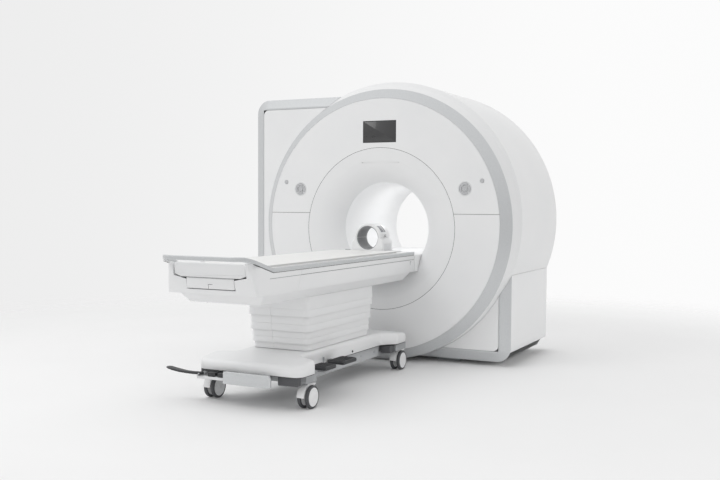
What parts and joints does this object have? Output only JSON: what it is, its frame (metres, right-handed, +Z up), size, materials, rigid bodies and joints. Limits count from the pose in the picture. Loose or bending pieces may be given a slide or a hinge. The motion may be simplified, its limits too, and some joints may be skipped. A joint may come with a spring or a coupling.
{
  "type": "mri scanner",
  "caption": "Magnetic resonance scanner: round bored gantry with a square housing and a docked patient trolley whose table lifts and whose cradle slides into the bore.",
  "frame": {"origin": "on the floor, under the bore axis, in the plane of the front cover", "axes": "+Z up, +Y into the bore away from the patient table, +X to the right as seen from the patient table"},
  "size_m": [2.249, 3.39, 2.112],
  "materials": {
    "white_cover": "satin painted moulding",
    "bore_liner": "smooth moulded tube",
    "silver_trim": "satin silver paint",
    "screen": "dark flush display window",
    "grey_keys": "moulded keys",
    "vessel_steel": "welded stainless steel",
    "coil_winding": "epoxy filled winding",
    "frame_steel": "grey powder coat",
    "pedal_rubber": "dark moulded plastic",
    "caster_fork": "moulded cover",
    "caster_wheel": "dark tyre with light hub disc",
    "mattress_cover": "welded white vinyl"
  },
  "bodies": {
    "gantry": {"bore_liner": "bore_liner", "bridge": "white_cover", "cold_head": "vessel_steel", "control_plate_left": "grey_keys", "control_plate_right": "grey_keys", "display_screen": "screen", "front_cover_lower": "white_cover", "front_cover_upper": "white_cover", "front_funnel": "white_cover", "front_panel": "white_cover", "front_trim_ring": "silver_trim", "gradient_coil": "coil_winding", "magnet_feet": "vessel_steel", "magnet_vessel": "vessel_steel", "main_coils": "coil_winding", "nose_band": "white_cover", "panel_trim": "silver_trim", "rear_cover": "white_cover", "rear_funnel": "white_cover", "rf_body_coil": "coil_winding", "shroud_right": "white_cover", "shroud_top": "white_cover", "side_cover_left": "white_cover", "side_cover_right": "white_cover", "vessel_end_plate": "vessel_steel"},
    "trolley": {"base_frame": "frame_steel", "base_cover": "white_cover", "front_bumper": "silver_trim", "column_stage_four": "white_cover"},
    "stage_two": {"column_stage_two": "white_cover"},
    "stage_three": {"column_stage_three": "white_cover"},
    "table": {"column_stage_one": "white_cover", "lift_posts": "frame_steel", "table_shell": "white_cover", "end_shell": "white_cover", "side_rail": "silver_trim", "under_shell": "white_cover", "drive_unit": "frame_steel"},
    "cradle": {"cradle": "white_cover", "mattress": "mattress_cover", "coil_base": "white_cover"},
    "coil_top": {"coil_top": "white_cover"},
    "pedal_front": {"pedal_front": "pedal_rubber"},
    "pedal_side_front": {"pedal_side_front": "pedal_rubber"},
    "pedal_side_rear": {"pedal_side_rear": "pedal_rubber"},
    "side_lever": {"side_lever": "pedal_rubber"},
    "fork_front_left": {"caster_fork_front_left": "caster_fork"},
    "wheel_front_left": {"caster_wheel_front_left": "caster_wheel"},
    "fork_front_right": {"caster_fork_front_right": "caster_fork"},
    "wheel_front_right": {"caster_wheel_front_right": "caster_wheel"},
    "fork_rear_left": {"caster_fork_rear_left": "caster_fork"},
    "wheel_rear_left": {"caster_wheel_rear_left": "caster_wheel"},
    "fork_rear_right": {"caster_fork_rear_right": "caster_fork"},
    "wheel_rear_right": {"caster_wheel_rear_right": "caster_wheel"},
    "centre_button_left": {"centre_button_left": "grey_keys"},
    "ring_key_left": {"ring_key_left": "grey_keys"},
    "small_button_left": {"small_button_left": "grey_keys"},
    "centre_button_right": {"centre_button_right": "grey_keys"},
    "ring_key_right": {"ring_key_right": "grey_keys"},
    "small_button_right": {"small_button_right": "grey_keys"}
  },
  "joints": [
    {"name": "trolley_roll", "type": "slide", "parent": "gantry", "child": "trolley", "axis": [0, -1, 0], "range_m": [0, 0.6]},
    {"name": "table_lift", "type": "slide", "parent": "trolley", "child": "table", "axis": [0, 0, 1], "range_m": [-0.2, 0]},
    {"name": "stage_two_slide", "type": "slide", "parent": "trolley", "child": "stage_two", "axis": [0, 0, 1], "range_m": [-0.11, 0.001]},
    {"name": "stage_three_slide", "type": "slide", "parent": "trolley", "child": "stage_three", "axis": [0, 0, 1], "range_m": [-0.035, 0.001]},
    {"name": "cradle_slide", "type": "slide", "parent": "table", "child": "cradle", "axis": [0, 1, 0], "range_m": [0, 1.4]},
    {"name": "coil_top_lift", "type": "slide", "parent": "cradle", "child": "coil_top", "axis": [0, 0, 1], "range_m": [0, 0.12]},
    {"name": "swivel_front_left", "type": "hinge", "parent": "trolley", "child": "fork_front_left", "pos_m": [-0.33, -1.6, 0.14], "axis": [0, 0, 1], "continuous": true},
    {"name": "spin_front_left", "type": "hinge", "parent": "fork_front_left", "child": "wheel_front_left", "pos_m": [-0.33, -1.624, 0.068], "axis": [1, 0, 0], "continuous": true},
    {"name": "swivel_front_right", "type": "hinge", "parent": "trolley", "child": "fork_front_right", "pos_m": [0.33, -1.6, 0.14], "axis": [0, 0, 1], "continuous": true},
    {"name": "spin_front_right", "type": "hinge", "parent": "fork_front_right", "child": "wheel_front_right", "pos_m": [0.33, -1.624, 0.068], "axis": [1, 0, 0], "continuous": true},
    {"name": "swivel_rear_left", "type": "hinge", "parent": "trolley", "child": "fork_rear_left", "pos_m": [-0.27, -0.205, 0.14], "axis": [0, 0, 1], "continuous": true},
    {"name": "spin_rear_left", "type": "hinge", "parent": "fork_rear_left", "child": "wheel_rear_left", "pos_m": [-0.27, -0.229, 0.068], "axis": [1, 0, 0], "continuous": true},
    {"name": "swivel_rear_right", "type": "hinge", "parent": "trolley", "child": "fork_rear_right", "pos_m": [0.27, -0.205, 0.14], "axis": [0, 0, 1], "continuous": true},
    {"name": "spin_rear_right", "type": "hinge", "parent": "fork_rear_right", "child": "wheel_rear_right", "pos_m": [0.27, -0.229, 0.068], "axis": [1, 0, 0], "continuous": true},
    {"name": "pedal_front_press", "type": "hinge", "parent": "trolley", "child": "pedal_front", "pos_m": [-0.3, -1.809, 0.18], "axis": [0, -1, 0], "range_deg": [0, 8], "stiffness_Nm_per_rad": 20, "springref_deg": -11.46},
    {"name": "pedal_side_front_press", "type": "hinge", "parent": "trolley", "child": "pedal_side_front", "pos_m": [0.241, -1.445, 0.159], "axis": [0, 1, 0], "range_deg": [0, 8], "stiffness_Nm_per_rad": 20, "springref_deg": -11.46},
    {"name": "pedal_side_rear_press", "type": "hinge", "parent": "trolley", "child": "pedal_side_rear", "pos_m": [0.241, -1.2, 0.159], "axis": [0, 1, 0], "range_deg": [0, 8], "stiffness_Nm_per_rad": 20, "springref_deg": -11.46},
    {"name": "side_lever_turn", "type": "hinge", "parent": "trolley", "child": "side_lever", "pos_m": [0.241, -1.283, 0.159], "axis": [0, 1, 0], "range_deg": [0, 20]},
    {"name": "centre_button_left_press", "type": "slide", "parent": "gantry", "child": "centre_button_left", "axis": [0, 1, 0], "range_m": [0, 0.002], "stiffness_N_per_m": 1500, "springref_m": -0.001},
    {"name": "ring_key_left_press", "type": "slide", "parent": "gantry", "child": "ring_key_left", "axis": [0, 1, 0], "range_m": [0, 0.002], "stiffness_N_per_m": 1500, "springref_m": -0.001},
    {"name": "small_button_left_press", "type": "slide", "parent": "gantry", "child": "small_button_left", "axis": [0, 1, 0], "range_m": [0, 0.002], "stiffness_N_per_m": 1500, "springref_m": -0.001},
    {"name": "centre_button_right_press", "type": "slide", "parent": "gantry", "child": "centre_button_right", "axis": [0, 1, 0], "range_m": [0, 0.002], "stiffness_N_per_m": 1500, "springref_m": -0.001},
    {"name": "ring_key_right_press", "type": "slide", "parent": "gantry", "child": "ring_key_right", "axis": [0, 1, 0], "range_m": [0, 0.002], "stiffness_N_per_m": 1500, "springref_m": -0.001},
    {"name": "small_button_right_press", "type": "slide", "parent": "gantry", "child": "small_button_right", "axis": [0, 1, 0], "range_m": [0, 0.002], "stiffness_N_per_m": 1500, "springref_m": -0.001}
  ],
  "couplings": [
    {"joint": "stage_two_slide", "follows": "table_lift", "ratio": 0.54},
    {"joint": "stage_three_slide", "follows": "table_lift", "ratio": 0.165}
  ]
}
